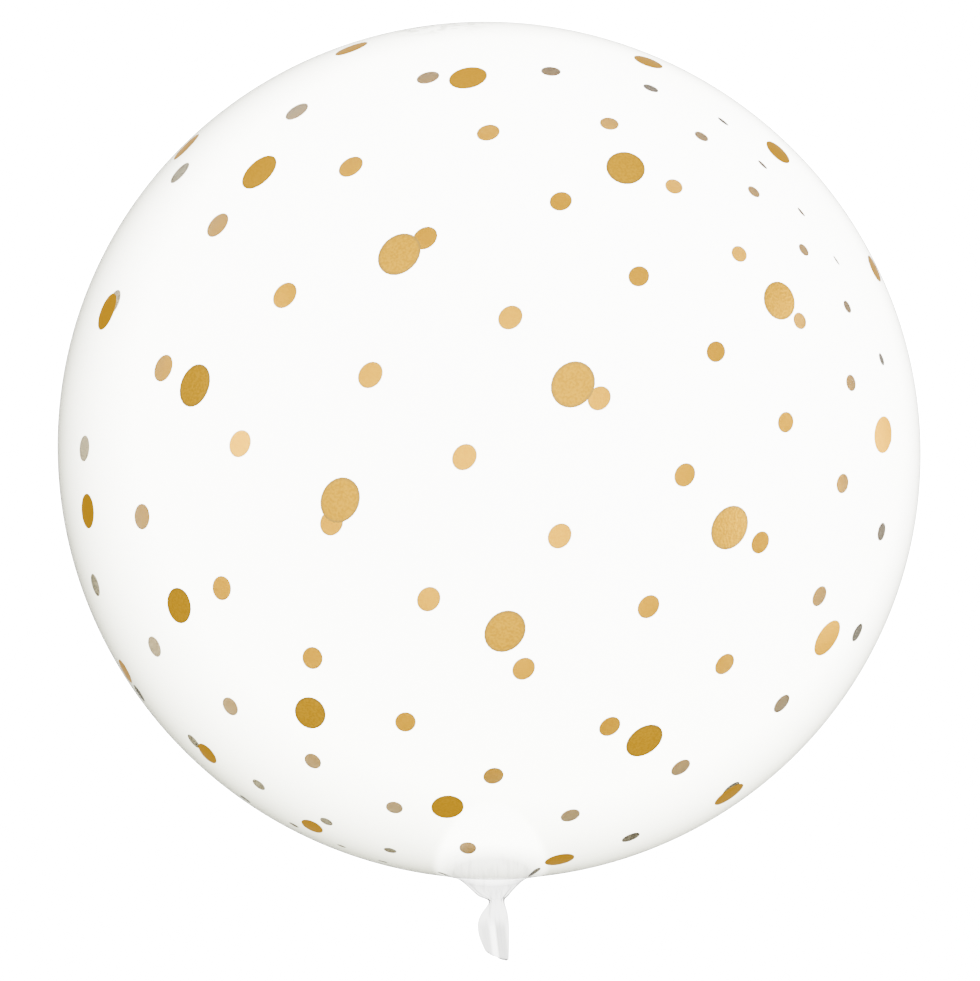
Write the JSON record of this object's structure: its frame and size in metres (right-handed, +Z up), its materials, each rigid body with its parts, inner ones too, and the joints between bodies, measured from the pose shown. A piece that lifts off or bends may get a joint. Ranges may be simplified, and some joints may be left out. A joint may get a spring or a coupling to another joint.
{
  "type": "bubble balloon",
  "caption": "Round clear film party balloon with scattered printed gold dots, a gathered neck and a short folded tail, lying on its side on a small flat spot.",
  "frame": {"origin": "middle of the flat spot under the ball that the balloon lies on", "axes": "+Z up from the floor, -Y along the neck from the ball to the tail"},
  "size_m": [0.4014, 0.447, 0.398],
  "materials": {
    "clear_film": "clear gloss",
    "gold_print": "satin foil"
  },
  "bodies": {
    "root": {"film_balloon": "clear_film"}
  },
  "joints": []
}
